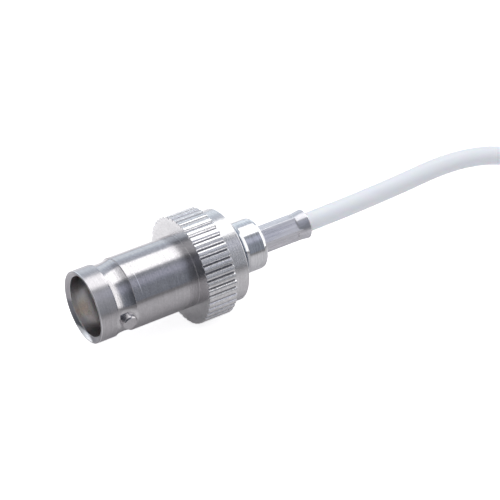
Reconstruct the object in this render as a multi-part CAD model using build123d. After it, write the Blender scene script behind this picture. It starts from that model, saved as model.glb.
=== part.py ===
from build123d import *
import math
import os

# Straight coaxial bayonet jack on a thin white cable. Lengths are in millimetres.
# The origin is on the axis at the front rim, +X runs back to the cable and +Z is up.
# The connector lies on its knurled ring, with the two bayonet lugs nearly level.

# Mating end, sizes of the standard bayonet interface
barrel_diameter = 9.65
shell_bore_diameter = 8.13
shell_bore_depth = 8.4
mouth_lead_diameter = 9.3
mouth_lead_depth = 0.38
edge_break = 0.1
lug_diameter = 2.0
over_lugs = 11.0
lug_from_rim = 3.8
lug_chamfer = 0.15
lug_turn_angle = 5.0

# Shallow tool band turned off-centre between the lugs
band_from_rim = 2.6
band_width = 2.6
band_offset = 0.26
band_edge_depth = 0.17
band_middle_depth = 0.35

# Knurled ring and plain collar
ring_diameter = 14.5
ring_from_rim = 14.2
ring_width = 4.1
knurl_count = 43
knurl_width = 0.42
knurl_depth = 0.32
knurl_start_angle = 2.9
collar_diameter = 12.5
collar_width = 2.5
collar_break = 0.15

# Bores inside the outer body
insulator_bore_diameter = 7.06
insulator_bore_length = 3.6
rear_bore_diameter = 7.9

# Rear body: flange, cone, boss and braid stem, pressed into the rear bore
flange_diameter = 8.7
flange_width = 1.0
boss_diameter = 6.97
boss_from_flange = 0.9
boss_length = 2.9
boss_rear_radius = 0.6
boss_rear_tapers = 3
chamber_diameter = 4.6
chamber_length = 3.1
cable_passage_diameter = 1.6
stem_diameter = 2.08
stem_length = 5.9

# Contact and insulators
contact_diameter = 2.15
contact_pin_bore = 1.37
contact_pin_bore_depth = 5.2
contact_slot_length = 4.4
contact_slot_width = 0.2
contact_slot_count = 4
contact_mouth_chamfer = 0.2
contact_recess = 0.2
contact_flange_diameter = 3.0
contact_flange_width = 0.8
contact_tail_diameter = 1.2
contact_tail_length = 4.6
wire_pot_depth = 3.2
solder_hole_diameter = 0.5
nose_diameter = 4.72
nose_length = 5.2
insulator_edge = 0.15
front_flange_width = 1.6
rear_insulator_width = 2.2

# Ferrule crimped over the braid
ferrule_diameter = 4.0
ferrule_wall = 0.335
ferrule_length = 7.55
crimp_across_flats = 3.25
crimp_length = 5.85
crimp_run_out = 0.9
crimp_turn_angle = 39.4
bell_taper = 0.2

# Cable: white jacket, braid, dielectric and seven strands
cable_diameter = 2.6
braid_thickness = 0.23
dielectric_diameter = 1.52
wire_bared_length = 0.3
strand_diameter = 0.168
strand_ring_count = 6
jacket_inside_ferrule = 1.2

# Clearances
slide_clearance = 0.01
strand_gap = 0.004
strand_clearance = 0.009
wire_pot_clearance = 0.054

# Cable route along the axis line to the stored hank, chosen by hand
cable_route = [
    (44.0, 0.0, 0.05),
    (61.0, 0.1, 1.5),
    (75.0, 0.0, -5.55),
]

# Hank of the unseen length: turns stacked on each other, held by a strap
hank_from_rim = 88.5
hank_straight = 21.8
hank_fold_radius = 7.8
hank_turns = 3
hank_edge = 0.76
hank_lead_in = 6.5
hank_lead_stop = 2.0
strap_width = 4.0
strap_thickness = 0.4
strap_corner_radius = 0.5
strap_tail_length = 8.0

# Places that follow from the sizes
barrel_radius = barrel_diameter / 2
ring_radius = ring_diameter / 2
ring_rear = ring_from_rim + ring_width
body_rear = ring_rear + collar_width
insulator_seat = shell_bore_depth + insulator_bore_length
nose_face = shell_bore_depth - nose_length
front_insulator_rear = insulator_seat + front_flange_width
rear_insulator_front = front_insulator_rear + contact_flange_width
rear_insulator_rear = rear_insulator_front + rear_insulator_width
boss_front = body_rear + flange_width + boss_from_flange
boss_rear = boss_front + boss_length
stem_rear = boss_rear + stem_length
ferrule_rear = boss_rear + ferrule_length
jacket_front = ferrule_rear - jacket_inside_ferrule
braid_radius = stem_diameter / 2 + slide_clearance + braid_thickness
cable_radius = cable_diameter / 2
strand_pitch = strand_diameter + strand_gap
strands_diameter = 2 * strand_pitch + strand_diameter
dielectric_bore = strands_diameter + 2 * strand_clearance
wire_pot_bore = strands_diameter + 2 * wire_pot_clearance
floor_height = -ring_radius
hank_floor_height = floor_height + strap_thickness
cable_floor_height = hank_floor_height + cable_radius
hank_height = hank_turns * cable_diameter
hank_width = 2 * (hank_fold_radius + cable_radius)
hank_middle = hank_from_rim + hank_straight / 2
strap_front = hank_middle - strap_width / 2


def turned(outline):
    """A solid turned about the X axis from (place along the axis, radius) points."""
    face = make_face(Plane.XZ * Polyline(*outline, close=True))
    return revolve(face, Axis.X, 360)


def rod(start, end, radius):
    """A plain round bar along the X axis."""
    return Plane.YZ.offset(start) * extrude(Circle(radius), end - start)


def hexagon_bar(start, end, across_flats, turn):
    """A hexagonal bar along the X axis, turned about it."""
    section = RegularPolygon(across_flats / 2, 6, major_radius=False, rotation=turn)
    return Plane.YZ.offset(start) * extrude(section, end - start)


def knurled_ring():
    """Ring with straight V grooves all round."""
    overcut = knurl_depth
    half_mouth = knurl_width / 2 * (knurl_depth + overcut) / knurl_depth
    groove = make_face(Polyline(
        (ring_radius - knurl_depth, 0),
        (ring_radius + overcut, half_mouth),
        (ring_radius + overcut, -half_mouth),
        close=True,
    ))
    grooves = PolarLocations(0, knurl_count, start_angle=90 + knurl_start_angle)
    section = Circle(ring_radius) - [place * groove for place in grooves]
    return Plane.YZ.offset(ring_from_rim) * extrude(section, ring_width)


def band_cutter(side):
    """What the off-centre tool takes off above or below the barrel, between the lugs."""
    edge_radius = barrel_radius + band_offset - band_edge_depth
    middle_radius = barrel_radius + band_offset - band_middle_depth
    outside = barrel_radius + 2 * band_offset
    band_rear = band_from_rim + band_width
    arc = ThreePointArc(
        (band_from_rim, edge_radius),
        (band_from_rim + band_width / 2, middle_radius),
        (band_rear, edge_radius),
    )
    sides = Polyline(
        (band_rear, edge_radius),
        (band_rear, outside),
        (band_from_rim, outside),
        (band_from_rim, edge_radius),
    )
    face = make_face(Plane.XZ * (arc + sides))
    return Pos(0, 0, -side * band_offset) * revolve(face, Axis.X, 360)


def bayonet_lug(side):
    """A round lug standing out of the barrel's side."""
    top = over_lugs / 2
    radius = lug_diameter / 2
    root = (shell_bore_diameter / 2 + barrel_radius) / 2
    outline = [
        (0, root),
        (radius, root),
        (radius, top - lug_chamfer),
        (radius - lug_chamfer, top),
        (0, top),
    ]
    face = make_face(Plane.XY * Polyline(*outline, close=True))
    lug = revolve(face, Axis.Y, 360)
    return Pos(lug_from_rim, 0, 0) * (lug if side > 0 else Rot(0, 0, 180) * lug)


def make_outer_body():
    """Barrel, lugs, knurled ring and collar, turned and milled from one bar."""
    collar_radius = collar_diameter / 2
    rear_bore = rear_bore_diameter / 2
    shell_bore = shell_bore_diameter / 2
    lead_slope = (mouth_lead_diameter - shell_bore_diameter) / 2 / mouth_lead_depth
    barrel = rod(0, ring_from_rim, barrel_radius)
    barrel = chamfer(barrel.edges().group_by(Axis.X)[0], edge_break)
    for side in (1, -1):
        barrel -= band_cutter(side)
    for side in (1, -1):
        barrel += bayonet_lug(side)
    barrel = Rot(lug_turn_angle, 0, 0) * barrel
    collar = rod(ring_rear, body_rear, collar_radius)
    collar = chamfer(collar.edges().group_by(Axis.X)[-1], collar_break)
    body = barrel + knurled_ring() + collar
    bores = turned([
        (-edge_break, 0),
        (-edge_break, mouth_lead_diameter / 2 + edge_break * lead_slope),
        (mouth_lead_depth, shell_bore),
        (shell_bore_depth, shell_bore),
        (shell_bore_depth, insulator_bore_diameter / 2),
        (insulator_seat, insulator_bore_diameter / 2),
        (insulator_seat, rear_bore),
        (body_rear + edge_break, rear_bore),
        (body_rear + edge_break, 0),
    ])
    return body - bores


def make_rear_body():
    """The boss behind the collar, with its press plug in front and braid stem behind."""
    boss_radius = boss_diameter / 2
    plug_radius = rear_bore_diameter / 2
    flange_radius = flange_diameter / 2
    flange_rear = body_rear + flange_width
    boss_edge = []
    for step in range(boss_rear_tapers + 1):
        turn = math.pi / 2 * step / boss_rear_tapers
        boss_edge.append((
            boss_rear - boss_rear_radius * (1 - math.sin(turn)),
            boss_radius - boss_rear_radius * (1 - math.cos(turn)),
        ))
    boss = turned([
        (rear_insulator_rear, 0),
        (rear_insulator_rear, plug_radius),
        (body_rear, plug_radius),
        (body_rear, flange_radius),
        (flange_rear, flange_radius),
        (boss_front, boss_radius),
        *boss_edge,
        (boss_rear, 0),
    ])
    stem = rod(boss_rear, stem_rear, stem_diameter / 2)
    chamber_rear = rear_insulator_rear + chamber_length
    chamber = rod(rear_insulator_rear, chamber_rear, chamber_diameter / 2)
    passage = rod(chamber_rear, stem_rear, cable_passage_diameter / 2)
    return boss + stem - chamber - passage


def make_front_insulator():
    """Nose that the plug slides over, body in the bore, and a flange behind the seat."""
    nose_radius = nose_diameter / 2
    body_radius = insulator_bore_diameter / 2
    flange_radius = rear_bore_diameter / 2
    bore = contact_diameter / 2 + slide_clearance
    return turned([
        (nose_face, bore + insulator_edge),
        (nose_face, nose_radius - insulator_edge),
        (nose_face + insulator_edge, nose_radius),
        (shell_bore_depth, nose_radius),
        (shell_bore_depth, body_radius),
        (insulator_seat, body_radius),
        (insulator_seat, flange_radius),
        (front_insulator_rear, flange_radius),
        (front_insulator_rear, bore),
        (nose_face + insulator_edge, bore),
    ])


def make_rear_insulator():
    """Washer behind the contact's flange, recessed to take it."""
    tail_bore = contact_tail_diameter / 2 + slide_clearance
    flange_bore = contact_flange_diameter / 2 + slide_clearance
    outer = rear_bore_diameter / 2
    return turned([
        (front_insulator_rear, flange_bore),
        (front_insulator_rear, outer),
        (rear_insulator_rear, outer),
        (rear_insulator_rear, tail_bore),
        (rear_insulator_front, tail_bore),
        (rear_insulator_front, flange_bore),
    ])


def make_socket_contact():
    """Slotted socket, locating flange, and a tail with the pot that takes the wire."""
    front = nose_face + contact_recess
    socket_radius = contact_diameter / 2
    pin_bore = contact_pin_bore / 2
    tail_rear = rear_insulator_front + contact_tail_length
    contact = turned([
        (front, pin_bore + contact_mouth_chamfer),
        (front, socket_radius),
        (front_insulator_rear, socket_radius),
        (front_insulator_rear, contact_flange_diameter / 2),
        (rear_insulator_front, contact_flange_diameter / 2),
        (rear_insulator_front, contact_tail_diameter / 2),
        (tail_rear, contact_tail_diameter / 2),
        (tail_rear, 0),
        (front + contact_pin_bore_depth, 0),
        (front + contact_pin_bore_depth, pin_bore),
        (front + contact_mouth_chamfer, pin_bore),
    ])
    contact -= rod(tail_rear - wire_pot_depth, tail_rear, wire_pot_bore / 2)
    slot = Pos(front, 0, socket_radius) * Box(
        2 * contact_slot_length, contact_slot_width, contact_diameter,
    )
    for turn in range(contact_slot_count):
        contact -= Rot(360 / contact_slot_count * turn, 0, 0) * slot
    hole_place = tail_rear - 0.75 * wire_pot_depth
    solder_hole = Pos(hole_place, 0, contact_tail_diameter / 2) * Cylinder(
        solder_hole_diameter / 2, contact_tail_diameter,
    )
    return contact - solder_hole


def crimped_form(rear_radius, across_flats):
    """A bar pressed to a hexagon, whose corners run out on the widening round bell."""
    crimp_rear = boss_rear + crimp_length
    pressed = hexagon_bar(boss_rear, crimp_rear + crimp_run_out, across_flats, crimp_turn_angle)
    bell = turned([
        (crimp_rear, 0),
        (crimp_rear, rear_radius - bell_taper),
        (ferrule_rear, rear_radius),
        (ferrule_rear, 0),
    ])
    return pressed + bell


def make_crimp_ferrule():
    """Thin tube crimped to a hexagon over the braid, left round at the cable end."""
    inner_flats = crimp_across_flats - 2 * ferrule_wall
    outside = crimped_form(ferrule_diameter / 2, crimp_across_flats)
    inside = crimped_form(ferrule_diameter / 2 - ferrule_wall, inner_flats)
    return outside - inside


def make_cable_braid():
    """Braid of the stripped end, spread over the stem and narrowing into the jacket."""
    stem_side = stem_diameter / 2 + slide_clearance
    cable_side = dielectric_diameter / 2 + slide_clearance
    narrow_front = stem_rear + slide_clearance
    return turned([
        (boss_rear, stem_side),
        (boss_rear, braid_radius),
        (narrow_front, braid_radius),
        (jacket_front, cable_side + braid_thickness),
        (jacket_front, cable_side),
        (narrow_front, stem_side),
    ])


def make_cable_dielectric():
    """White core of the stripped end, from the chamber back to the jacket."""
    front = rear_insulator_front + contact_tail_length + wire_bared_length
    core = rod(front, jacket_front, dielectric_diameter / 2)
    return core - rod(front, jacket_front, dielectric_bore / 2)


def make_centre_strands():
    """Seven fine strands, from the bottom of the wire pot back to the jacket."""
    front = rear_insulator_front + contact_tail_length - wire_pot_depth
    strand = rod(front, jacket_front, strand_diameter / 2)
    ring = PolarLocations(strand_pitch, strand_ring_count)
    strands = [strand] + [
        Pos(0, place.position.X, place.position.Y) * strand for place in ring
    ]
    return Compound(children=strands)


def fillet_radii(points):
    """One arc for each corner, as large as its two runs allow."""
    radii = []
    for before, corner, after in zip(points, points[1:], points[2:]):
        run_in = Vector(*corner) - Vector(*before)
        run_out = Vector(*after) - Vector(*corner)
        turn = math.radians(run_in.get_angle(run_out))
        shorter = min(run_in.length, run_out.length)
        radii.append(0.45 * shorter / math.tan(turn / 2))
    return radii


def make_cable_hank():
    """Outer form of the stacked turns, with the lead-in that the free cable meets."""
    opening = hank_width - 2 * cable_diameter
    outline = SlotOverall(hank_straight + hank_width, hank_width)
    outline -= SlotOverall(hank_straight + opening, opening)
    turns = extrude(outline, hank_height)
    corners = turns.faces().filter_by(Axis.Z)
    rims = [edge for face in corners for edge in face.outer_wire().edges()]
    turns = chamfer(rims, hank_edge)
    turns = Pos(hank_middle, -hank_fold_radius, hank_floor_height) * turns
    lead_in = rod(hank_from_rim - hank_lead_in, hank_from_rim - hank_lead_stop, cable_radius)
    return turns + Pos(0, 0, cable_floor_height) * lead_in


def make_hank_strap():
    """Thin strap round the middle of the hank, its tail laid over the top."""
    inside = RectangleRounded(hank_width, hank_height, strap_corner_radius)
    outside = RectangleRounded(
        hank_width + 2 * strap_thickness,
        hank_height + 2 * strap_thickness,
        strap_corner_radius + strap_thickness,
    )
    tail = Pos(0, hank_height / 2 + 1.5 * strap_thickness) * Rectangle(
        strap_tail_length, strap_thickness,
    )
    section = Pos(-hank_fold_radius, hank_floor_height + hank_height / 2) * (outside - inside + tail)
    return Plane.YZ.offset(strap_front) * extrude(section, strap_width)


def make_cable():
    """Round cable from inside the ferrule along the route to the hank's lead-in."""
    start = (jacket_front, 0, 0)
    end = (hank_from_rim - hank_lead_in, 0, cable_floor_height)
    points = [start] + cable_route + [end]
    radii = fillet_radii(points)
    print("cable arc radii", [round(radius, 1) for radius in radii])
    path = FilletPolyline(*points, radius=radii)
    section = Plane.YZ.offset(jacket_front) * Circle(cable_radius)
    tube = sweep(section, path=path)
    print("cable length", round(path.length, 2), "volume ratio",
          round(tube.volume / (math.pi * cable_radius ** 2 * path.length), 4))
    return tube


os.makedirs("parts", exist_ok=True)
nodes = {
    "outer_body": make_outer_body(),
    "rear_body": make_rear_body(),
    "front_insulator": make_front_insulator(),
    "rear_insulator": make_rear_insulator(),
    "socket_contact": make_socket_contact(),
    "crimp_ferrule": make_crimp_ferrule(),
    "cable_braid": make_cable_braid(),
    "cable_dielectric": make_cable_dielectric(),
    "centre_strands": make_centre_strands(),
    "cable": make_cable(),
    "cable_hank": make_cable_hank(),
    "hank_strap": make_hank_strap(),
}
for name, solid in nodes.items():
    export_step(solid, f"parts/{name}.step")
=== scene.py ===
import math
from collections import namedtuple

import bmesh
import bpy
from bpy.props import FloatProperty, FloatVectorProperty, IntProperty, PointerProperty
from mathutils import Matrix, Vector

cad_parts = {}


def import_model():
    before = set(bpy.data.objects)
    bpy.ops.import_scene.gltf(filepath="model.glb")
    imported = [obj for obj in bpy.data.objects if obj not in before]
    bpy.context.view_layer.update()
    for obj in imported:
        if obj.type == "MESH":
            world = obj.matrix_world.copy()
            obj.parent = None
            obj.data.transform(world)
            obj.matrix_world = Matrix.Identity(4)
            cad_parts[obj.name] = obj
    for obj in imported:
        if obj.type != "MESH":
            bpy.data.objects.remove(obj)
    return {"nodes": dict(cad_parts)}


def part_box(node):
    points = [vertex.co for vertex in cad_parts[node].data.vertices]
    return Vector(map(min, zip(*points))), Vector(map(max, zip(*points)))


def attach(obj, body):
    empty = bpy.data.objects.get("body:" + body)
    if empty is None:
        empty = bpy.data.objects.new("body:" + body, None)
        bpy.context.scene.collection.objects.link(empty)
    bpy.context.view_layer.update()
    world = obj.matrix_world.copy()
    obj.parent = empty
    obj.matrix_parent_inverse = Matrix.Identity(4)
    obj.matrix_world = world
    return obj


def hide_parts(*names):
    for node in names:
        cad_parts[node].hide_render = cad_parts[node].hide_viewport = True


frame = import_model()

bl_info = {
    "name": "Crimped Bayonet Jack",
    "version": (1, 0, 0),
    "blender": (4, 5, 0),
    "location": "3D View > Sidebar > Bayonet Jack",
    "description": "Dresses a coaxial bayonet jack and its thin white cable for a studio picture",
    "category": "Object",
}

MILLIMETRE = 0.001

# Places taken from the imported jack, in metres
FLOOR_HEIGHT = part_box("outer_body")[0].z
JACKET_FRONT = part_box("cable")[0].x
FERRULE_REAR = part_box("crimp_ferrule")[1].x

# Places behind the rim of the jack, in millimetres
LEAD_DEPTH = 0.36
BAND_FRONT = 2.6
LUG_PLACE = 3.8
TOOL_MARK = 6.27
RING_FRONT = 14.2
RING_REAR = 18.3
CONE_FRONT = 22.1

# Radii round its axis, in millimetres
BORE_RADIUS = 4.1
LEAD_RADIUS = 4.65
RIM_RADIUS = 4.825
COLLAR_RADIUS = 6.3
GROOVE_RADIUS = 6.97
CREST_RADIUS = 7.14
RING_RADIUS = 7.25

# Turns round its axis
LUG_TURN = math.radians(5)
GROOVE_COUNT = 43
GROOVE_PITCH = 2 * math.pi / GROOVE_COUNT
GROOVE_ANGLE = math.radians(92.9)

# Soft edges of the zones that look different, in millimetres along, out from or above the axis
MARK_SIDE = (0.01, 0.06)
MARK_FOOT = (2.0, 3.0)
MARK_HEAD = (4.0, 4.6)
MILLED_INSIDE = (1.1, 1.25)
MILLED_OUTSIDE = (1.45, 1.75)
RING_EDGE = (RING_FRONT - 0.05, RING_FRONT - 0.02)
KNURL_FOOT = (COLLAR_RADIUS, GROOVE_RADIUS)
GROOVE_FLANK = (GROOVE_RADIUS, CREST_RADIUS)
GROOVE_START = (RING_FRONT + 0.03, RING_FRONT + 0.1)
GROOVE_END = (RING_REAR - 0.1, RING_REAR - 0.03)
LIT_EDGE_FOOT = (CREST_RADIUS - 0.06, CREST_RADIUS)
LIT_EDGE_HEAD = (RING_RADIUS - 0.03, RING_RADIUS - 0.01)
LAND_FOOT = (CREST_RADIUS, RING_RADIUS - 0.01)
BORE_WALL = (BORE_RADIUS, BORE_RADIUS + 0.1)
RIM_REAR = (0.11, 0.17)
RIM_EDGE = (RIM_RADIUS - 0.05, RIM_RADIUS - 0.02)
RIM_LOW = (-3.8, -3.0)
LEAD_REAR = (LEAD_DEPTH, LEAD_DEPTH + 0.02)
LEAD_EDGE = (LEAD_RADIUS - 0.03, LEAD_RADIUS)
LEAD_SHADE = (-1.9, -1.2)
LEAD_GLINT = (-4.3, -3.95)
BLURRED_BARREL = (RING_FRONT - 2.6, RING_FRONT - 1.2)
FRONT_LAND = (BAND_FRONT - 0.3, BAND_FRONT)
FLANGE_REAR = (CONE_FRONT - 0.2, CONE_FRONT)

# How strong these looks are
MARK_SHARE = 0.7
MILLED_SHARE = 0.35
GRAIN_SHARE = 0.5
BLUR = 0.07
FRONT_LAND_BLUR = 1.9

# Height of a land's crown in millimetres, and where it rises as shares of the pitch
CROWN_HEIGHT = 0.045
CROWN_FLANK = (0.18, 0.42)

# How far a bevel leaves a flat face at a crimped edge, as the cosine of the turn
CRIMP_EDGE = (0.955, 0.985)

# Noises: repeats in a metre along each axis, detail, and roughness
LATHE_LINES = ((5200.0, 260.0, 260.0), 4.0, 0.65)
PLATE_PITS = ((4200.0, 2600.0, 2600.0), 3.0, 0.6)
PLATE_SMUDGES = ((320.0, 420.0, 420.0), 3.0, 0.55)
KNURL_GRAIN = ((7000.0, 7000.0, 7000.0), 2.0, 0.5)
CRIMP_MARKS = ((150.0, 4200.0, 4200.0), 3.0, 0.6)
CRIMP_SMUDGES = ((200.0, 1500.0, 1500.0), 3.0, 0.55)
INSULATOR_LINES = ((6000.0, 300.0, 300.0), 2.0, 0.5)
JACKET_WAVES = ((260.0, 700.0, 700.0), 2.0, 0.5)
JACKET_GRAIN = ((3500.0, 3500.0, 3500.0), 2.0, 0.5)

# How much the finer noise adds to the coarser one
PIT_SHARE = 0.5
JACKET_GRAIN_SHARE = 0.12

# The range that each noise is spread from, and the ranges that some are spread to
NOISE_RANGE = (0.3, 0.7)
LINE_RANGE = (0.55, 0.95)
SMUDGE_BLUR = (0.85, 1.2)
GRAIN_TONE = (0.8, 1.12)
CRIMP_ROUGHNESS = (0.24, 0.36)
CRIMP_TONE = (0.86, 1.08)
JACKET_SHADE = 0.97

# Depths of the bumps and radii of the softened edges, in millimetres
CRIMP_DEPTH = 0.007
INSULATOR_DEPTH = 0.004
JACKET_DEPTH = 0.03
WEAVE_DEPTH = 0.04
TURNED_EDGE = 0.07
CRIMPED_EDGE = 0.13

# Weave of the braid
WEAVE_SLANT = math.radians(35)
WEAVE_SCALE = 1500.0
WIRE_SHADE = (0.42, 0.42, 0.43, 1.0)
WIRE_SILVER = (0.88, 0.88, 0.87, 1.0)

# Radii and half heights of the layers of the cut cable, in millimetres
BRAID_LAYER = (0.77, 1.02, 0.05)
CORE_LAYER = (0.0, 0.76, 0.08)
STRAND_LAYER = (0.0, 0.086, 0.14)
STRAND_PITCH = 0.172
LAYER_SIDES = 24

# Route of the cable from the ferrule to its hank
CABLE_ROUTE = [
    (0.0440, 0.0000, 0.00005),
    (0.0610, 0.0001, 0.00150),
    (0.0750, 0.0000, -0.00555),
    (0.0820, 0.0000, -0.00555),
]
HANK_TURNS = 3

# Studio walls in degrees, from the floor in front, over the jack, to the floor behind
WALL_COLORS = [
    (0, (0.22, 0.24, 0.28)), (33, (0.23, 0.25, 0.29)), (42, (0.29, 0.31, 0.37)),
    (50, (0.44, 0.46, 0.55)), (62, (0.44, 0.46, 0.55)), (70, (0.30, 0.32, 0.36)),
    (78, (0.34, 0.36, 0.40)), (138, (0.57, 0.61, 0.68)), (144, (0.57, 0.61, 0.68)),
    (150, (0.60, 0.67, 0.76)), (160, (0.88, 0.95, 1.00)), (180, (0.82, 0.90, 1.00)),
]
PANEL_FRONT = (76, 88)
PANEL_BACK = (124, 131)
BACK_WALL = (140, 152)
CARD_TOP = (50, 80)

# Soft edges in the studio, as parts of a ray's direction along and across the jack
PANEL_SHADE = (0.0, 0.42, 0.3, 1.0)
FRONT_WALL_SHADE = (-0.20, 0.45, 0.35, 1.0)
BACK_WALL_SHADE = (-0.85, -0.65, 0.15, 1.0)
END_PANEL_NEAR = (0.50, 0.66)
END_PANEL_SIDE = (0.05, 0.40)
CARD_SIDE = (-0.90, -0.76)
DOME_RISE = (0.0, 1.0)

# Colours of the panel at the cable's end, the card in front and the dome
END_PANEL = (1.5, 1.5, 1.5, 1.0)
FRONT_CARD = (0.9, 0.9, 0.9, 1.0)
DOME_FOOT = (0.05, 0.06, 0.10, 1.0)
DOME_HEAD = (0.83, 0.84, 0.86, 1.0)
WORLD_STRENGTH = 1.12

# Soft edges on the floor, in millimetres, and how brightly it glows
BACK_FLOOR = (-4, 8)
BACK_FLOOR_END = (60, 140)
SIDE_FLOOR = (-110, -50)
FRONT_FLOOR = (-80, -14)
BACK_GLOW = 0.42
SEEN_GLOW = 0.78
DIFFUSE_GLOW = 0.22
FLOOR_SHADE = 0.4
FLOOR_REACH = 2.0

FILL_PLACE = (-0.05, 0.15, 0.8)
FILL_SIZE = 0.7

# A point on the jack: its place, the place's three parts, and how far from the axis it lies
Spot = namedtuple("Spot", "place along level height away")


def put(tree, kind, sockets=None, **options):
    """Adds a node, sets its options, and fills its sockets with values or links."""
    node = tree.nodes.new(kind)
    for name, value in options.items():
        setattr(node, name, value)
    for name, value in (sockets or {}).items():
        socket = node.inputs[name]
        if isinstance(value, bpy.types.NodeSocket):
            tree.links.new(value, socket)
        else:
            socket.default_value = value
    return node


def sum_of(tree, operation, first, second=0.0):
    """One sum on two numbers or sockets."""
    return put(tree, "ShaderNodeMath", {0: first, 1: second}, operation=operation).outputs[0]


def product_of(tree, first, *others):
    """Several numbers or sockets multiplied."""
    for other in others:
        first = sum_of(tree, "MULTIPLY", first, other)
    return first


def largest_of(tree, first, *others):
    """The largest of several numbers or sockets."""
    for other in others:
        first = sum_of(tree, "MAXIMUM", first, other)
    return first


def vector_sum(tree, operation, sockets, output=0):
    """One sum on vectors, as the named or numbered output of its node."""
    return put(tree, "ShaderNodeVectorMath", sockets, operation=operation).outputs[output]


def spread_of(tree, value, low, high, to_low=0.0, to_high=1.0):
    """Carries a number from one range to another with soft ends."""
    sockets = {"Value": value, "From Min": low, "From Max": high, "To Min": to_low, "To Max": to_high}
    node = put(tree, "ShaderNodeMapRange", sockets, interpolation_type="SMOOTHSTEP")
    return node.outputs["Result"]


def past(tree, value, edge, share=1.0):
    """Nothing before a soft edge, and a share past it."""
    return spread_of(tree, value, *edge, 0.0, share)


def before(tree, value, edge, share=1.0):
    """A share before a soft edge, and nothing past it."""
    return spread_of(tree, value, *edge, share, 0.0)


def new_surface(name):
    """A new material, its tree and its principled shader."""
    material = bpy.data.materials.new(name)
    material.use_nodes = True
    tree = material.node_tree
    return material, tree, tree.nodes["Principled BSDF"]


def stretched_noise(tree, scales, detail, roughness):
    """Noise in the jack's own space, squeezed by a different number along each axis."""
    place = put(tree, "ShaderNodeTexCoord").outputs["Object"]
    squeezed = vector_sum(tree, "MULTIPLY", {0: place, 1: scales})
    sockets = {"Vector": squeezed, "Scale": 1.0, "Detail": detail, "Roughness": roughness}
    return put(tree, "ShaderNodeTexNoise", sockets).outputs["Fac"]


def place_of(tree):
    """A point's place in the jack's own space, in millimetres."""
    place = put(tree, "ShaderNodeTexCoord").outputs["Object"]
    return vector_sum(tree, "SCALE", {0: place, "Scale": 1 / MILLIMETRE})


def parts_of(tree, vector):
    """The three parts of a vector, as outputs X, Y and Z."""
    return put(tree, "ShaderNodeSeparateXYZ", {0: vector}).outputs


def spot_on_jack(tree):
    """The point that is being shaded, in the jack's own space and in millimetres."""
    place = place_of(tree)
    parts = parts_of(tree, place)
    across = vector_sum(tree, "MULTIPLY", {0: place, 1: (0, 1, 1)})
    away = vector_sum(tree, "LENGTH", {0: across}, "Value")
    return Spot(place, parts["X"], parts["Y"], parts["Z"], away)


def blend_colors(tree, share, first, second):
    """A colour between two others."""
    node = put(tree, "ShaderNodeMix", {"Factor": share}, data_type="RGBA")
    for socket, color in ((node.inputs[6], first), (node.inputs[7], second)):
        if isinstance(color, bpy.types.NodeSocket):
            tree.links.new(color, socket)
        else:
            socket.default_value = color
    return node.outputs[2]


def opaque(color):
    """A colour of three numbers with its fourth."""
    return (color[0], color[1], color[2], 1.0)


def shared(name, make):
    """A material that several pieces wear, made the first time that it is asked for."""
    return bpy.data.materials.get(name) or make(name)


def wear_material(node, material):
    """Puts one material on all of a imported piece."""
    mesh = frame["nodes"][node].data
    mesh.materials.clear()
    mesh.materials.append(material)


def streaked_color(tree, shader, color, streaks):
    """Gives a shader a colour that fine streaks darken and brighten."""
    tint = put(tree, "ShaderNodeMix", {"Factor": 1.0}, data_type="RGBA", blend_type="MULTIPLY")
    if isinstance(color, bpy.types.NodeSocket):
        tree.links.new(color, tint.inputs[6])
    else:
        tint.inputs[6].default_value = color
    tree.links.new(streaks, tint.inputs[7])
    tree.links.new(tint.outputs[2], shader.inputs["Base Color"])


def turned_metal(name, roughness, anisotropy, line_depth, streak_depth):
    """Lathe-turned plate with fine lines round the jack's axis, and the streaks for its colour."""
    material, tree, shader = new_surface(name)
    turned = stretched_noise(tree, *LATHE_LINES)
    pits = stretched_noise(tree, *PLATE_PITS)
    lines = sum_of(tree, "ADD", turned, product_of(tree, pits, PIT_SHARE))
    smudges = stretched_noise(tree, *PLATE_SMUDGES)
    edge = put(tree, "ShaderNodeBevel", {"Radius": TURNED_EDGE * MILLIMETRE}, samples=6)
    bump = put(tree, "ShaderNodeBump", {
        "Strength": 1.0, "Distance": line_depth * MILLIMETRE, "Height": lines,
        "Normal": edge.outputs[0],
    })
    tangent = put(tree, "ShaderNodeTangent", direction_type="RADIAL", axis="X")
    tree.links.new(bump.outputs[0], shader.inputs["Normal"])
    tree.links.new(tangent.outputs[0], shader.inputs["Tangent"])
    smoothest, roughest = (roughness * share for share in SMUDGE_BLUR)
    tree.links.new(
        spread_of(tree, smudges, *NOISE_RANGE, smoothest, roughest), shader.inputs["Roughness"],
    )
    shader.inputs["Metallic"].default_value = 1.0
    shader.inputs["Anisotropic"].default_value = anisotropy
    # A quarter turn smears what the metal mirrors across its lines, along the axis
    shader.inputs["Anisotropic Rotation"].default_value = 0.25
    streaks = spread_of(tree, lines, *LINE_RANGE, 1 - streak_depth, 1 + streak_depth / 2)
    return material, tree, shader, streaks


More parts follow.
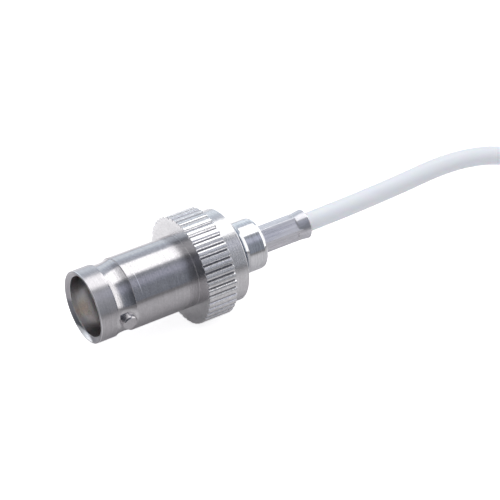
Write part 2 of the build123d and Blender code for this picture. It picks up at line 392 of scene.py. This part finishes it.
class JackCableSettings(bpy.types.PropertyGroup):
    """Sizes and colour of the thin white cable."""

    diameter: FloatProperty(
        name="Cable Diameter", description="Outside diameter of the white jacket",
        default=0.0026, min=0.001, max=0.006, precision=5, unit="LENGTH",
    )
    free_length: FloatProperty(
        name="Free Length", description="Cable between the ferrule and its cut end",
        default=0.305, min=0.1, max=0.33, precision=4, unit="LENGTH",
    )
    hank_start: FloatVectorProperty(
        name="Hank Start", description="Where the lowest run of the stored hank begins",
        size=3, default=(0.0885, 0.0, -0.00555), precision=5, unit="LENGTH",
    )
    hank_run: FloatProperty(
        name="Hank Run", description="Length of the straight runs between the hank's folds",
        default=0.0218, min=0.01, max=0.05, precision=5, unit="LENGTH",
    )
    fold_radius: FloatProperty(
        name="Fold Radius", description="Radius of the half turns at the ends of the hank",
        default=0.0078, min=0.005, max=0.02, precision=5, unit="LENGTH",
    )
    fold_points: IntProperty(
        name="Points per Fold", description="Points of the cable's curve in each half turn",
        default=12, min=6, max=24,
    )
    jacket_color: FloatVectorProperty(
        name="Jacket Colour", description="Colour of the waxy white jacket", subtype="COLOR",
        size=3, default=(0.905, 0.945, 1.0), min=0.0, max=1.0,
    )
    strap_color: FloatVectorProperty(
        name="Strap Colour", description="Colour of the strap round the hank", subtype="COLOR",
        size=3, default=(0.72, 0.72, 0.70), min=0.0, max=1.0,
    )


class JackFinishSettings(bpy.types.PropertyGroup):
    """Colours and gloss of the jack's own pieces, and of the shade and highlights painted on them."""

    barrel_color: FloatVectorProperty(
        name="Barrel Plate", description="Satin plate of the barrel and lugs", subtype="COLOR",
        size=3, default=(0.56, 0.545, 0.56), min=0.0, max=1.0,
    )
    collar_color: FloatVectorProperty(
        name="Collar Plate", description="Brighter plate of the plain collar and the ring's faces",
        subtype="COLOR", size=3, default=(0.72, 0.71, 0.72), min=0.0, max=1.0,
    )
    land_color: FloatVectorProperty(
        name="Knurl Plate", description="Rubbed plate on the lands of the knurled ring",
        subtype="COLOR", size=3, default=(0.79, 0.78, 0.79), min=0.0, max=1.0,
    )
    bore_color: FloatVectorProperty(
        name="Bore Plate", description="Plate inside the mouth", subtype="COLOR",
        size=3, default=(0.83, 0.81, 0.82), min=0.0, max=1.0,
    )
    # Besides the tool's line and the milled rings, this colour paints highlights on edges of the knurl,
    # rim and ferrule, and a reflection low in the mouth's chamfer
    mark_and_highlight_color: FloatVectorProperty(
        name="Edge Plate", description="Bare bright metal of worn edges and of the tool's line",
        subtype="COLOR", size=3, default=(0.95, 0.94, 0.95), min=0.0, max=1.0,
    )
    rim_color: FloatVectorProperty(
        name="Rim Face", description="Dull plate of the rim's flat face and the top of its chamfer",
        subtype="COLOR", size=3, default=(0.36, 0.35, 0.37), min=0.0, max=1.0,
    )
    lead_color: FloatVectorProperty(
        name="Chamfer Shade", description="Shaded metal low in the chamfer of the mouth",
        subtype="COLOR", size=3, default=(0.18, 0.18, 0.20), min=0.0, max=1.0,
    )
    flange_shade_color: FloatVectorProperty(
        name="Flange Shade", description="Shaded flange between the collar and the boss",
        subtype="COLOR", size=3, default=(0.22, 0.25, 0.30), min=0.0, max=1.0,
    )
    groove_color: FloatVectorProperty(
        name="Groove Shade", description="Shaded metal at the bottom of the knurl's grooves",
        subtype="COLOR", size=3, default=(0.40, 0.40, 0.43), min=0.0, max=1.0,
    )
    barrel_roughness: FloatProperty(
        name="Barrel Roughness", description="How satin the turned plate of the outer body is",
        default=0.17, min=0.0, max=1.0, subtype="FACTOR",
    )
    boss_color: FloatVectorProperty(
        name="Boss Plate", description="Bright plate of the polished rear body", subtype="COLOR",
        size=3, default=(0.77, 0.77, 0.785), min=0.0, max=1.0,
    )
    boss_roughness: FloatProperty(
        name="Boss Roughness", description="How mirror-like the polished rear body is",
        default=0.09, min=0.0, max=1.0, subtype="FACTOR",
    )
    ferrule_color: FloatVectorProperty(
        name="Ferrule Plate", description="Dull plate of the crimped ferrule", subtype="COLOR",
        size=3, default=(0.67, 0.665, 0.70), min=0.0, max=1.0,
    )
    gold_color: FloatVectorProperty(
        name="Contact Gold", description="Gold plate of the socket contact", subtype="COLOR",
        size=3, default=(0.92, 0.66, 0.30), min=0.0, max=1.0,
    )
    insulator_color: FloatVectorProperty(
        name="Insulator White", description="White of the two insulators and the cable's core",
        subtype="COLOR", size=3, default=(0.86, 0.86, 0.84), min=0.0, max=1.0,
    )


class JackStageSettings(bpy.types.PropertyGroup):
    """Camera, floor and studio light."""

    target: FloatVectorProperty(
        name="Target", description="Point of the jack at the middle of the picture",
        subtype="TRANSLATION", size=3, default=(0.019965, -0.007573, 0.005774),
        precision=6, unit="LENGTH",
    )
    distance: FloatProperty(
        name="Camera Distance", description="From the target to the camera",
        default=0.250, min=0.05, precision=4, unit="LENGTH",
    )
    azimuth: FloatProperty(
        name="Camera Azimuth", description="Turn of the camera round the jack, from straight in front",
        default=math.radians(-32.47), subtype="ANGLE", unit="ROTATION",
    )
    elevation: FloatProperty(
        name="Camera Elevation", description="Height of the camera above the horizon",
        default=math.radians(36.86), subtype="ANGLE", unit="ROTATION",
    )
    lens: FloatProperty(
        name="Focal Length", description="Focal length of the camera",
        default=144.0, min=20.0, unit="CAMERA",
    )
    floor_color: FloatVectorProperty(
        name="Floor Colour", description="Pale colour of the floor", subtype="COLOR",
        size=3, default=(0.78, 0.765, 0.765), min=0.0, max=1.0,
    )
    softbox: FloatProperty(
        name="Softbox Strength", description="Brightness of the white panel overhead",
        default=1.9, min=0.0,
    )
    fill_power: FloatProperty(
        name="Fill Power", description="Power of the large soft lamp above, which metal doesn't mirror",
        default=0.9, min=0.0, subtype="POWER",
    )


def soft_step(share):
    """Rises smoothly from 0 to 1 as share goes from 0 to 1."""
    share = min(1.0, max(0.0, share))
    return share * share * (3 - 2 * share)


def hank_points(cable):
    """Points of the stacked turns, each a run out, a fold, a run back and a rising fold."""
    start = Vector(cable.hank_start)
    half_step = math.pi / cable.fold_points / 2
    # A curve of this kind touches the middles of the lines between its points
    reach = cable.fold_radius / math.cos(half_step)
    overrun = cable.fold_radius * math.tan(half_step)
    points = [start]
    for turn in range(HANK_TURNS):
        for side in (1, -1):
            middle = start + Vector((cable.hank_run if side > 0 else 0.0, -cable.fold_radius, 0))
            for step in range(-1, cable.fold_points + 1):
                angle = side * (math.pi / 2 - (2 * step + 1) * half_step)
                if 0 <= step < cable.fold_points:
                    along = side * math.cos(angle) * reach
                    across = math.sin(angle) * reach
                else:
                    along = -side * overrun
                    across = side * (cable.fold_radius if step < 0 else -cable.fold_radius)
                climb = turn if side > 0 else turn + soft_step((step + 0.5) / cable.fold_points)
                points.append(middle + Vector((along, across, climb * cable.diameter)))
    return points


def cut_to_length(points, length):
    """The first points of a row, the last of them moved to where the length ends."""
    kept = points[:1]
    for point in points[1:]:
        run = (point - kept[-1]).length
        if run >= length:
            return kept + [kept[-1].lerp(point, length / run)]
        length -= run
        kept.append(point)
    return kept


def jacket_material(color):
    """Smooth waxy white wrap with a very faint unevenness."""
    material, tree, shader = new_surface("white_cable_jacket")
    waves = stretched_noise(tree, *JACKET_WAVES)
    grain = stretched_noise(tree, *JACKET_GRAIN)
    height = sum_of(tree, "ADD", waves, product_of(tree, grain, JACKET_GRAIN_SHARE))
    bump = put(tree, "ShaderNodeBump", {"Distance": JACKET_DEPTH * MILLIMETRE, "Height": height})
    tree.links.new(bump.outputs[0], shader.inputs["Normal"])
    darker = opaque([JACKET_SHADE * channel for channel in color])
    tint = blend_colors(tree, past(tree, waves, NOISE_RANGE), opaque(color), darker)
    tree.links.new(tint, shader.inputs["Base Color"])
    shader.inputs["Roughness"].default_value = 0.34
    shader.inputs["Subsurface Weight"].default_value = 0.3
    shader.inputs["Subsurface Scale"].default_value = 0.9 * MILLIMETRE
    shader.inputs["Specular IOR Level"].default_value = 0.4
    return material


def insulator_material(name):
    """White turned insulator, slightly waxy."""
    material, tree, shader = new_surface(name)
    color = bpy.context.scene.jack_finish.insulator_color
    lines = stretched_noise(tree, *INSULATOR_LINES)
    bump = put(tree, "ShaderNodeBump", {"Distance": INSULATOR_DEPTH * MILLIMETRE, "Height": lines})
    tree.links.new(bump.outputs[0], shader.inputs["Normal"])
    shader.inputs["Base Color"].default_value = opaque(color)
    shader.inputs["Roughness"].default_value = 0.42
    shader.inputs["Subsurface Weight"].default_value = 0.3
    shader.inputs["Subsurface Scale"].default_value = 0.5 * MILLIMETRE
    return material


def braid_material(name):
    """Silvered wires woven over each other at a slant."""
    material, tree, shader = new_surface(name)
    place = put(tree, "ShaderNodeTexCoord").outputs["Object"]
    waves = []
    for slant in (WEAVE_SLANT, -WEAVE_SLANT):
        sockets = {"Vector": place, "Rotation": (0, 0, slant), "Scale": (1, 1, 1)}
        turned = put(tree, "ShaderNodeMapping", sockets).outputs[0]
        wave = put(tree, "ShaderNodeTexWave", {"Vector": turned, "Scale": WEAVE_SCALE})
        waves.append(wave.outputs["Fac"])
    weave = largest_of(tree, *waves)
    bump = put(tree, "ShaderNodeBump", {"Distance": WEAVE_DEPTH * MILLIMETRE, "Height": weave})
    tree.links.new(bump.outputs[0], shader.inputs["Normal"])
    tint = blend_colors(tree, weave, WIRE_SHADE, WIRE_SILVER)
    tree.links.new(tint, shader.inputs["Base Color"])
    shader.inputs["Metallic"].default_value = 1.0
    shader.inputs["Roughness"].default_value = 0.3
    return material


def add_layer(builder, layer, center, slot):
    """One layer of the cut cable: a short upright tube, or a rod where its inner radius is 0."""
    inner, outer, height = (size * MILLIMETRE for size in layer)
    rings = []
    for radius, level in ((inner, height), (outer, height), (outer, -height)):
        angles = [2 * math.pi * step / LAYER_SIDES for step in range(LAYER_SIDES)]
        rings.append([
            builder.verts.new((center[0] + radius * math.cos(angle),
                               center[1] + radius * math.sin(angle), level))
            for angle in angles
        ])
    top, edge, foot = rings
    for step in range(LAYER_SIDES):
        after = (step + 1) % LAYER_SIDES
        faces = [builder.faces.new((edge[step], foot[step], foot[after], edge[after]))]
        if inner > 0:
            faces.append(builder.faces.new((top[step], edge[step], edge[after], top[after])))
        for face in faces:
            face.material_index = slot
    if inner == 0:
        builder.faces.new(edge).material_index = slot
        bmesh.ops.delete(builder, geom=top, context="VERTS")


def cut_end(name, place, direction, silver, white):
    """The cable's layers where it is cut square: braid, white core and seven strands."""
    builder = bmesh.new()
    add_layer(builder, BRAID_LAYER, (0, 0), 0)
    add_layer(builder, CORE_LAYER, (0, 0), 1)
    pitch = STRAND_PITCH * MILLIMETRE
    turns = [turn * math.pi / 3 for turn in range(6)]
    spots = [(0, 0)] + [(pitch * math.cos(turn), pitch * math.sin(turn)) for turn in turns]
    for spot in spots:
        add_layer(builder, STRAND_LAYER, spot, 0)
    mesh = bpy.data.meshes.new(name)
    builder.to_mesh(mesh)
    builder.free()
    mesh.materials.append(silver)
    mesh.materials.append(white)
    piece = bpy.data.objects.new(name, mesh)
    piece.location = place
    piece.rotation_mode = "QUATERNION"
    piece.rotation_quaternion = direction.to_track_quat("Z", "Y")
    return piece


class BAYONET_JACK_OT_lay_cable(bpy.types.Operator):
    """Lays the white cable from the ferrule to its neat stored hank"""

    bl_idname = "bayonet_jack.lay_cable"
    bl_label = "Lay Cable"

    def execute(self, context):
        cable = context.scene.jack_cable
        route = [Vector((JACKET_FRONT, 0, 0))] + [Vector(place) for place in CABLE_ROUTE]
        inside = FERRULE_REAR - JACKET_FRONT
        route = cut_to_length(route + hank_points(cable), cable.free_length + inside)
        curve = bpy.data.curves.new("white_cable", "CURVE")
        curve.dimensions = "3D"
        spline = curve.splines.new("NURBS")
        spline.points.add(len(route) - 1)
        for point, place in zip(spline.points, route):
            point.co = (*place, 1)
        spline.order_u = 3
        spline.use_endpoint_u = True
        spline.resolution_u = 8
        curve.bevel_depth = cable.diameter / 2
        curve.bevel_resolution = 10
        curve.use_fill_caps = True
        curve.materials.append(jacket_material(cable.jacket_color))
        piece = bpy.data.objects.new("white_cable", curve)
        context.collection.objects.link(piece)
        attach(piece, "root")
        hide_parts("cable", "cable_hank")
        last = route[-1]
        end = cut_end(
            "cable_cut_end", last, last - route[-2], shared("silvered_braid", braid_material),
            shared("white_insulator", insulator_material),
        )
        context.collection.objects.link(end)
        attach(end, "root")
        strap, _, shader = new_surface("nylon_strap")
        shader.inputs["Base Color"].default_value = opaque(cable.strap_color)
        shader.inputs["Roughness"].default_value = 0.5
        wear_material("hank_strap", strap)
        return {"FINISHED"}


def barrel_tint(tree, spot, finish):
    """Satin plate with a tool's line round it and a pale milled ring round each lug."""
    mark_and_highlight_color = opaque(finish.mark_and_highlight_color)
    from_mark = sum_of(tree, "ABSOLUTE", sum_of(tree, "SUBTRACT", spot.along, TOOL_MARK))
    mark = product_of(
        tree, before(tree, from_mark, MARK_SIDE, MARK_SHARE),
        past(tree, spot.height, MARK_FOOT), before(tree, spot.height, MARK_HEAD),
    )
    tint = blend_colors(tree, mark, opaque(finish.barrel_color), mark_and_highlight_color)
    level_with_lugs = (0, -math.sin(LUG_TURN), math.cos(LUG_TURN))
    beside = vector_sum(tree, "DOT_PRODUCT", {0: spot.place, 1: level_with_lugs}, "Value")
    behind = sum_of(tree, "SUBTRACT", spot.along, LUG_PLACE)
    flat = put(tree, "ShaderNodeCombineXYZ", {"X": behind, "Y": beside}).outputs[0]
    from_lug = vector_sum(tree, "LENGTH", {0: flat}, "Value")
    milled = product_of(
        tree, past(tree, from_lug, MILLED_INSIDE, MILLED_SHARE),
        before(tree, from_lug, MILLED_OUTSIDE),
    )
    return blend_colors(tree, milled, tint, mark_and_highlight_color)


def knurl_tint(tree, spot, finish, tint, on_knurl):
    """Rubbed lands between grooves of painted shade, with painted highlights on their upper edges."""
    tint = blend_colors(tree, on_knurl, tint, opaque(finish.land_color))
    past_front = past(tree, spot.along, GROOVE_START)
    in_groove = product_of(
        tree, before(tree, spot.away, GROOVE_FLANK), past_front,
        before(tree, spot.along, GROOVE_END),
    )
    tint = blend_colors(tree, in_groove, tint, opaque(finish.groove_color))
    # A highlight is painted on the upper flank of each groove, below the land's edge
    lit_edge = product_of(
        tree, past(tree, spot.away, LIT_EDGE_FOOT), before(tree, spot.away, LIT_EDGE_HEAD), past_front,
    )
    return blend_colors(tree, lit_edge, tint, opaque(finish.mark_and_highlight_color))


def mouth_tint(tree, spot, finish, tint, in_bore):
    """The bore, the rim's dull face with a painted highlight on its outer edge, and the chamfer between
    them.
    """
    mark_and_highlight_color = opaque(finish.mark_and_highlight_color)
    rim_color = opaque(finish.rim_color)
    tint = blend_colors(tree, in_bore, tint, opaque(finish.bore_color))
    # A highlight is painted along the rim's outer edge, but not low down
    on_edge = product_of(tree, past(tree, spot.away, RIM_EDGE), past(tree, spot.height, RIM_LOW))
    rim_tint = blend_colors(tree, on_edge, rim_color, mark_and_highlight_color)
    tint = blend_colors(tree, before(tree, spot.along, RIM_REAR), tint, rim_tint)
    # The chamfer is dull above, has painted shade lower down, and a painted reflection of the floor at
    # the very bottom
    shaded = before(tree, spot.height, LEAD_SHADE)
    glint = before(tree, spot.height, LEAD_GLINT)
    lead_tint = blend_colors(tree, shaded, rim_color, opaque(finish.lead_color))
    lead_tint = blend_colors(tree, glint, lead_tint, mark_and_highlight_color)
    on_lead = product_of(
        tree, before(tree, spot.along, LEAD_REAR), before(tree, spot.away, LEAD_EDGE),
    )
    return blend_colors(tree, on_lead, tint, lead_tint)


def grained(tree, tint, on_knurl):
    """A tint with a fine grain, strongest on the knurl."""
    grain = spread_of(tree, stretched_noise(tree, *KNURL_GRAIN), *NOISE_RANGE, *GRAIN_TONE)
    rough = vector_sum(tree, "MULTIPLY", {0: tint, 1: grain})
    return blend_colors(tree, largest_of(tree, on_knurl, GRAIN_SHARE), tint, rough)


def crown_lands(tree, spot, shader):
    """Bends the normals on the knurl, so that each land is a little crowned."""
    angle = sum_of(tree, "ARCTAN2", spot.height, spot.level)
    turn = sum_of(tree, "SUBTRACT", angle, GROOVE_ANGLE)
    pitches = sum_of(tree, "ADD", sum_of(tree, "DIVIDE", turn, GROOVE_PITCH), 0.5)
    off_groove = sum_of(tree, "SUBTRACT", sum_of(tree, "FRACT", pitches), 0.5)
    from_groove = sum_of(tree, "ABSOLUTE", off_groove)
    crown = product_of(
        tree, past(tree, from_groove, CROWN_FLANK), past(tree, spot.away, LAND_FOOT),
    )
    crowned = put(tree, "ShaderNodeBump", {
        "Distance": CROWN_HEIGHT * MILLIMETRE, "Height": crown,
        "Normal": shader.inputs["Normal"].links[0].from_socket,
    })
    tree.links.new(crowned.outputs[0], shader.inputs["Normal"])


def blur_zones(tree, spot, shader, in_bore):
    """Makes the plate more satin near the ring, in the bore and on the front land."""
    outside = sum_of(tree, "SUBTRACT", 1.0, in_bore)
    on_front = product_of(tree, before(tree, spot.along, FRONT_LAND, FRONT_LAND_BLUR), outside)
    near_ring = past(tree, spot.along, BLURRED_BARREL)
    blur = product_of(tree, largest_of(tree, near_ring, in_bore, on_front), BLUR)
    plain = shader.inputs["Roughness"].links[0].from_socket
    tree.links.new(sum_of(tree, "ADD", plain, blur), shader.inputs["Roughness"])


class BAYONET_JACK_OT_finish_outer_body(bpy.types.Operator):
    """Gives the barrel, lugs, ring and collar their satin turned plate"""

    bl_idname = "bayonet_jack.finish_outer_body"
    bl_label = "Finish Outer Body"

    def execute(self, context):
        finish = context.scene.jack_finish
        material, tree, shader, streaks = turned_metal(
            "satin_turned_plate", finish.barrel_roughness,
            anisotropy=0.5, line_depth=0.008, streak_depth=0.08,
        )
        spot = spot_on_jack(tree)
        on_ring = past(tree, spot.along, RING_EDGE)
        on_knurl = product_of(tree, on_ring, past(tree, spot.away, KNURL_FOOT))
        in_bore = before(tree, spot.away, BORE_WALL)
        tint = barrel_tint(tree, spot, finish)
        tint = blend_colors(tree, on_ring, tint, opaque(finish.collar_color))
        tint = knurl_tint(tree, spot, finish, tint, on_knurl)
        tint = mouth_tint(tree, spot, finish, tint, in_bore)
        streaked_color(tree, shader, grained(tree, tint, on_knurl), streaks)
        crown_lands(tree, spot, shader)
        blur_zones(tree, spot, shader, in_bore)
        wear_material("outer_body", material)
        return {"FINISHED"}


class BAYONET_JACK_OT_finish_rear_body(bpy.types.Operator):
    """Gives the rear body its bright polished plate, with painted shade on the flange behind the collar
    """

    bl_idname = "bayonet_jack.finish_rear_body"
    bl_label = "Finish Rear Body"

    def execute(self, context):
        finish = context.scene.jack_finish
        material, tree, shader, streaks = turned_metal(
            "polished_plate", finish.boss_roughness,
            anisotropy=0.3, line_depth=0.004, streak_depth=0.17,
        )
        # A band of painted shade darkens the flange just behind the collar
        on_flange = before(tree, parts_of(tree, place_of(tree))["X"], FLANGE_REAR)
        tint = blend_colors(tree, on_flange, opaque(finish.boss_color), opaque(finish.flange_shade_color))
        streaked_color(tree, shader, tint, streaks)
        wear_material("rear_body", material)
        return {"FINISHED"}


class BAYONET_JACK_OT_finish_ferrule(bpy.types.Operator):
    """Gives the crimped ferrule its dull plate with marks of the crimping tool"""

    bl_idname = "bayonet_jack.finish_ferrule"
    bl_label = "Finish Ferrule"

    def execute(self, context):
        finish = context.scene.jack_finish
        material, tree, shader = new_surface("crimped_plate")
        marks = stretched_noise(tree, *CRIMP_MARKS)
        smudges = stretched_noise(tree, *CRIMP_SMUDGES)
        edge = put(tree, "ShaderNodeBevel", {"Radius": CRIMPED_EDGE * MILLIMETRE}, samples=6)
        bump = put(tree, "ShaderNodeBump", {
            "Distance": CRIMP_DEPTH * MILLIMETRE, "Height": marks, "Normal": edge.outputs[0],
        })
        blur = spread_of(tree, smudges, *NOISE_RANGE, *CRIMP_ROUGHNESS)
        tree.links.new(bump.outputs[0], shader.inputs["Normal"])
        tree.links.new(blur, shader.inputs["Roughness"])
        # The bevel's normal leaves the face's own only at an edge, where a highlight is painted on the
        # plate
        face = put(tree, "ShaderNodeNewGeometry").outputs["True Normal"]
        turned = vector_sum(tree, "DOT_PRODUCT", {0: edge.outputs[0], 1: face}, "Value")
        lit_edge = before(tree, turned, CRIMP_EDGE)
        tint = blend_colors(tree, lit_edge, opaque(finish.ferrule_color), opaque(finish.mark_and_highlight_color))
        streaked_color(tree, shader, tint, spread_of(tree, marks, *NOISE_RANGE, *CRIMP_TONE))
        shader.inputs["Metallic"].default_value = 1.0
        wear_material("crimp_ferrule", material)
        return {"FINISHED"}


class BAYONET_JACK_OT_finish_inner_parts(bpy.types.Operator):
    """Finishes the insulators, the gold contact and the stripped end of the cable"""

    bl_idname = "bayonet_jack.finish_inner_parts"
    bl_label = "Finish Inner Parts"

    def execute(self, context):
        finish = context.scene.jack_finish
        white = shared("white_insulator", insulator_material)
        for node in ("front_insulator", "rear_insulator", "cable_dielectric"):
            wear_material(node, white)
        gold, tree, shader, streaks = turned_metal(
            "gold_plate", roughness=0.2, anisotropy=0.3, line_depth=0.003, streak_depth=0.1,
        )
        streaked_color(tree, shader, opaque(finish.gold_color), streaks)
        wear_material("socket_contact", gold)
        silver = shared("silvered_braid", braid_material)
        for node in ("cable_braid", "centre_strands"):
            wear_material(node, silver)
        return {"FINISHED"}


def studio_walls(tree, parts):
    """The walls' colour and the angle over the jack, from 0 in front to 180 degrees behind."""
    front = sum_of(tree, "MULTIPLY", parts["Y"], -1.0)
    over = sum_of(tree, "DIVIDE", sum_of(tree, "ARCTAN2", parts["Z"], front), math.pi)
    walls = put(tree, "ShaderNodeValToRGB", {0: over})
    stops = walls.color_ramp.elements
    while len(stops) < len(WALL_COLORS):
        stops.new(1.0)
    for stop, (degrees, color) in zip(stops, WALL_COLORS):
        stop.position = degrees / 180
        stop.color = opaque(color)
    angle = sum_of(tree, "MULTIPLY", over, 180.0)
    front_shade = spread_of(tree, parts["X"], *FRONT_WALL_SHADE)
    back_shade = spread_of(tree, parts["X"], *BACK_WALL_SHADE)
    shade = blend_colors(tree, past(tree, angle, BACK_WALL), front_shade, back_shade)
    return vector_sum(tree, "MULTIPLY", {0: walls.outputs[0], 1: shade}), angle


def studio_world(softbox):
    """Studio walls round the jack: dark in front, a white panel overhead, pale behind."""
    world = bpy.data.worlds.new("studio")
    world.use_nodes = True
    tree = world.node_tree
    tree.nodes.clear()
    parts = parts_of(tree, put(tree, "ShaderNodeTexCoord").outputs["Generated"])
    lit, angle = studio_walls(tree, parts)
    panel = product_of(
        tree, past(tree, angle, PANEL_FRONT), before(tree, angle, PANEL_BACK),
        spread_of(tree, parts["X"], *PANEL_SHADE),
    )
    lit = blend_colors(tree, panel, lit, (softbox, softbox, softbox, 1.0))
    # A second white panel stands past the cable's end of the jack
    end_panel = product_of(
        tree, past(tree, parts["X"], END_PANEL_NEAR), before(tree, parts["Y"], END_PANEL_SIDE),
    )
    lit = blend_colors(tree, end_panel, lit, END_PANEL)
    # A small white card stands far in front of the mouth
    front_card = product_of(
        tree, before(tree, parts["X"], CARD_SIDE), before(tree, angle, CARD_TOP),
    )
    lit = blend_colors(tree, front_card, lit, FRONT_CARD)
    # The panels only show in metal: what is matte gets a soft dome, and the eye sees white
    rays = put(tree, "ShaderNodeLightPath").outputs
    dome = blend_colors(tree, past(tree, parts["Z"], DOME_RISE), DOME_FOOT, DOME_HEAD)
    lit = blend_colors(tree, rays["Is Diffuse Ray"], lit, dome)
    lit = blend_colors(tree, rays["Is Camera Ray"], lit, (1, 1, 1, 1))
    background = put(tree, "ShaderNodeBackground", {"Color": lit, "Strength": WORLD_STRENGTH})
    put(tree, "ShaderNodeOutputWorld", {"Surface": background.outputs[0]})
    return world


def floor_material(color):
    """Plain pale floor, brighter to the eye than in the metal's reflections."""
    material, tree, shader = new_surface("pale_floor")
    tree.nodes.remove(shader)
    parts = parts_of(tree, place_of(tree))
    rays = put(tree, "ShaderNodeLightPath").outputs
    seen = rays["Is Camera Ray"]
    beside = past(tree, parts["X"], SIDE_FLOOR)
    # Metal mirrors the floor behind the jack as if it were lit from below as well
    mirrored = product_of(
        tree, past(tree, parts["Y"], BACK_FLOOR, BACK_GLOW), rays["Is Glossy Ray"], beside,
        before(tree, parts["Y"], BACK_FLOOR_END),
    )
    # Far in front of the jack it mirrors as a dark edge
    near = product_of(tree, past(tree, parts["Y"], FRONT_FLOOR), beside)
    dark = opaque([FLOOR_SHADE * channel for channel in color])
    tint = blend_colors(tree, largest_of(tree, near, seen), dark, opaque(color))
    matte = put(tree, "ShaderNodeBsdfDiffuse", {"Color": tint})
    strength = largest_of(
        tree, mirrored, product_of(tree, seen, SEEN_GLOW),
        product_of(tree, rays["Is Diffuse Ray"], DIFFUSE_GLOW),
    )
    glow = put(tree, "ShaderNodeEmission", {"Color": (1, 1, 1, 1), "Strength": strength})
    both = put(tree, "ShaderNodeAddShader", {0: matte.outputs[0], 1: glow.outputs[0]})
    output = tree.nodes["Material Output"]
    tree.links.new(both.outputs[0], output.inputs["Surface"])
    return material


class BAYONET_JACK_OT_set_stage(bpy.types.Operator):
    """Sets the camera, the pale floor and the studio light"""

    bl_idname = "bayonet_jack.set_stage"
    bl_label = "Set Stage"

    def execute(self, context):
        stage = context.scene.jack_stage
        back = Vector((
            math.sin(stage.azimuth) * math.cos(stage.elevation),
            -math.cos(stage.azimuth) * math.cos(stage.elevation),
            math.sin(stage.elevation),
        ))
        camera_data = bpy.data.cameras.new("studio_camera")
        camera_data.lens = stage.lens
        camera_data.sensor_width = 36.0
        camera_data.clip_start = 0.01
        camera_data.clip_end = 10.0
        camera = bpy.data.objects.new("studio_camera", camera_data)
        context.collection.objects.link(camera)
        camera.location = Vector(stage.target) + back * stage.distance
        camera.rotation_mode = "QUATERNION"
        camera.rotation_quaternion = (-back).to_track_quat("-Z", "Y")
        context.scene.camera = camera
        mesh = bpy.data.meshes.new("floor")
        builder = bmesh.new()
        bmesh.ops.create_grid(builder, x_segments=1, y_segments=1, size=FLOOR_REACH)
        bmesh.ops.translate(builder, verts=builder.verts, vec=(0, 0, FLOOR_HEIGHT))
        builder.to_mesh(mesh)
        builder.free()
        mesh.materials.append(floor_material(stage.floor_color))
        floor = bpy.data.objects.new("floor", mesh)
        context.collection.objects.link(floor)
        fill_data = bpy.data.lights.new("soft_fill", "AREA")
        fill_data.size = FILL_SIZE
        fill_data.energy = stage.fill_power
        fill = bpy.data.objects.new("soft_fill", fill_data)
        fill.location = Vector(stage.target) + Vector(FILL_PLACE)
        fill.visible_glossy = False
        context.collection.objects.link(fill)
        context.scene.world = studio_world(stage.softbox)
        context.scene.view_settings.view_transform = "Standard"
        return {"FINISHED"}


STEPS = (
    BAYONET_JACK_OT_set_stage,
    BAYONET_JACK_OT_lay_cable,
    BAYONET_JACK_OT_finish_outer_body,
    BAYONET_JACK_OT_finish_rear_body,
    BAYONET_JACK_OT_finish_ferrule,
    BAYONET_JACK_OT_finish_inner_parts,
)
SETTINGS = {
    "jack_cable": JackCableSettings,
    "jack_finish": JackFinishSettings,
    "jack_stage": JackStageSettings,
}


class BAYONET_JACK_PT_steps(bpy.types.Panel):
    """Lists the steps that dress the jack"""

    bl_label = "Bayonet Jack"
    bl_idname = "BAYONET_JACK_PT_steps"
    bl_space_type = "VIEW_3D"
    bl_region_type = "UI"
    bl_category = "Bayonet Jack"

    def draw(self, context):
        for step in STEPS:
            self.layout.operator(step.bl_idname)


def register():
    for group in SETTINGS.values():
        bpy.utils.register_class(group)
    for step in STEPS:
        bpy.utils.register_class(step)
    bpy.utils.register_class(BAYONET_JACK_PT_steps)
    for name, group in SETTINGS.items():
        setattr(bpy.types.Scene, name, PointerProperty(type=group))


def unregister():
    for name in SETTINGS:
        delattr(bpy.types.Scene, name)
    bpy.utils.unregister_class(BAYONET_JACK_PT_steps)
    for step in reversed(STEPS):
        bpy.utils.unregister_class(step)
    for group in SETTINGS.values():
        bpy.utils.unregister_class(group)


def main():
    """Dresses the jack step by step."""
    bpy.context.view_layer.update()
    register()
    for step in STEPS:
        group, name = step.bl_idname.split(".")
        getattr(getattr(bpy.ops, group), name)()


if __name__ == "__main__":
    main()
